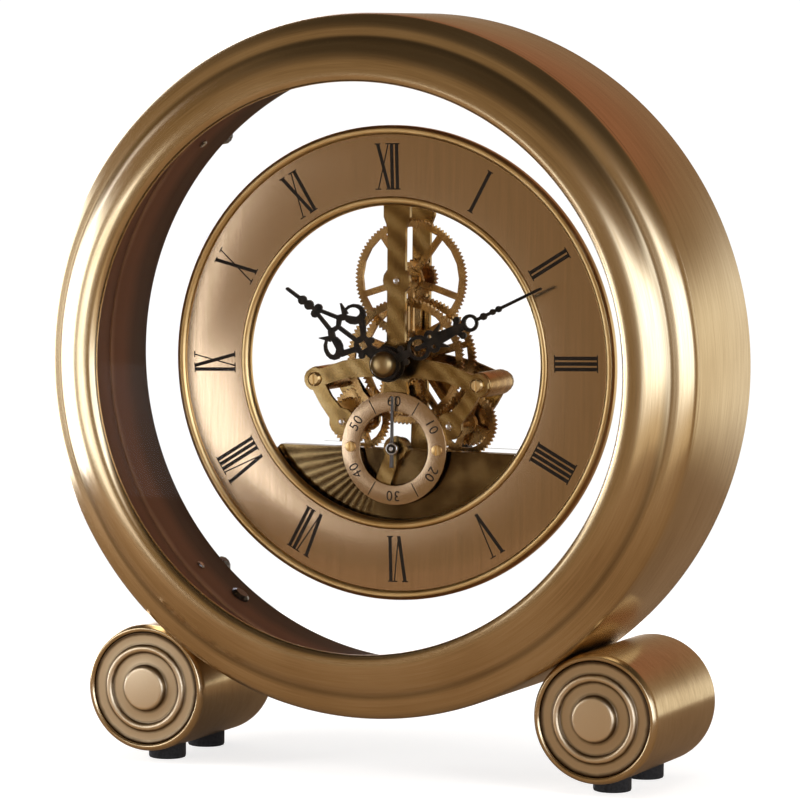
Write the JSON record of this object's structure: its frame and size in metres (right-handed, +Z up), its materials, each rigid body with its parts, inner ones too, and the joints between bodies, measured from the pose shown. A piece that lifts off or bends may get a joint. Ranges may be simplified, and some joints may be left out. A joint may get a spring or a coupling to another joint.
{
  "type": "skeleton desk clock",
  "caption": "Round desk clock on two cylinder feet, with a clear front and back, an open dial and a visible coupled gear train that turns the hour, minute and seconds hands.",
  "frame": {"origin": "on the surface the clock stands on, in the middle of its width and of its depth", "axes": "+Z up, -Y the side the dial faces, +X to the viewer's right when facing the dial"},
  "size_m": [0.2202, 0.069, 0.2402],
  "materials": {
    "brushed_brass": "circumferentially brushed antique brass",
    "polished_gold": "polished gold-coloured brass",
    "dial_brass": "circular-brushed brass",
    "wheel_brass": "bright turned brass",
    "plate_brass": "striped polished brass",
    "silver": "bright steel",
    "black_metal": "black lacquer",
    "brown_wall": "dark brown satin",
    "clear": "clear",
    "rubber": "matte",
    "battery_film": "printed film",
    "copper": "enamelled copper wire",
    "board": "varnished board",
    "black_plastic": "fine-grained black plastic"
  },
  "bodies": {
    "clock": {"front_bezel": "brushed_brass", "drum_band": "brushed_brass", "foot_left": "brushed_brass", "foot_right": "brushed_brass", "foot_disc_left": "brushed_brass", "foot_disc_right": "brushed_brass", "plate_screw_left": "polished_gold", "plate_screw_right": "polished_gold", "seconds_screw_left": "polished_gold", "seconds_screw_right": "polished_gold", "movement_housing": "polished_gold", "dial_ring": "dial_brass", "seconds_dial": "dial_brass", "front_plate": "plate_brass", "rear_plate": "plate_brass", "pillar_left": "plate_brass", "pillar_right": "plate_brass", "pillar_top": "plate_brass", "core_screw_1": "silver", "core_screw_2": "silver", "core_screw_3": "silver", "core_screw_4": "silver", "foot_bolt_left": "silver", "foot_bolt_right": "silver", "pane_screw_left": "silver", "pane_screw_right": "silver", "glass_sleeve": "brown_wall", "case_core": "brown_wall", "front_glass": "clear", "rear_pane": "clear", "pane_bumper_1": "clear", "pane_bumper_2": "clear", "pane_bumper_3": "clear", "pane_bumper_4": "clear", "foot_pad_left_front": "rubber", "foot_pad_left_rear": "rubber", "foot_pad_right_front": "rubber", "foot_pad_right_rear": "rubber", "battery": "battery_film", "drive_coil": "copper", "circuit_board": "board", "drive_cover": "black_plastic"},
    "minute": {"minute_arbor": "silver", "centre_wheel_front": "wheel_brass", "centre_wheel_rear": "wheel_brass", "minute_hand": "black_metal", "hand_nut": "polished_gold"},
    "hour": {"hour_wheel": "wheel_brass", "hour_hand": "black_metal"},
    "motion": {"motion_wheel": "wheel_brass"},
    "upper": {"upper_wheel": "wheel_brass"},
    "left_train": {"left_wheel": "wheel_brass"},
    "right_train": {"right_wheel": "wheel_brass"},
    "drive": {"drive_wheel": "wheel_brass", "setting_knob": "black_plastic"},
    "seconds": {"seconds_arbor": "silver", "second_hand": "silver"},
    "cover": {"battery_cover": "black_plastic"}
  },
  "joints": [
    {"name": "minute_turn", "type": "hinge", "parent": "clock", "child": "minute", "pos_m": [0, 0, 0.13006], "axis": [0, 1, 0], "continuous": true},
    {"name": "hour_turn", "type": "hinge", "parent": "clock", "child": "hour", "pos_m": [0, 0, 0.13006], "axis": [0, 1, 0], "continuous": true},
    {"name": "motion_turn", "type": "hinge", "parent": "clock", "child": "motion", "pos_m": [0, 0, 0.12046], "axis": [0, 1, 0], "continuous": true},
    {"name": "upper_turn", "type": "hinge", "parent": "clock", "child": "upper", "pos_m": [0, 0, 0.15596], "axis": [0, 1, 0], "continuous": true},
    {"name": "left_train_turn", "type": "hinge", "parent": "clock", "child": "left_train", "pos_m": [-0.0184, 0, 0.11056], "axis": [0, 1, 0], "continuous": true},
    {"name": "right_train_turn", "type": "hinge", "parent": "clock", "child": "right_train", "pos_m": [0.0184, 0, 0.11056], "axis": [0, 1, 0], "continuous": true},
    {"name": "drive_turn", "type": "hinge", "parent": "clock", "child": "drive", "pos_m": [0.0114, 0, 0.09843], "axis": [0, 1, 0], "continuous": true},
    {"name": "seconds_turn", "type": "hinge", "parent": "clock", "child": "seconds", "pos_m": [0, 0, 0.10296], "axis": [0, 1, 0], "continuous": true},
    {"name": "cover_slide", "type": "slide", "parent": "clock", "child": "cover", "axis": [0, 0, -1], "range_m": [0, 0.018]}
  ],
  "couplings": [
    {"joint": "hour_turn", "follows": "minute_turn", "ratio": 0.083333},
    {"joint": "motion_turn", "follows": "minute_turn", "ratio": -0.33333},
    {"joint": "upper_turn", "follows": "minute_turn", "ratio": -3.2143},
    {"joint": "left_train_turn", "follows": "minute_turn", "ratio": -2.8125},
    {"joint": "right_train_turn", "follows": "minute_turn", "ratio": -2.8125},
    {"joint": "drive_turn", "follows": "minute_turn", "ratio": 7.1875},
    {"joint": "seconds_turn", "follows": "minute_turn", "ratio": 60}
  ]
}
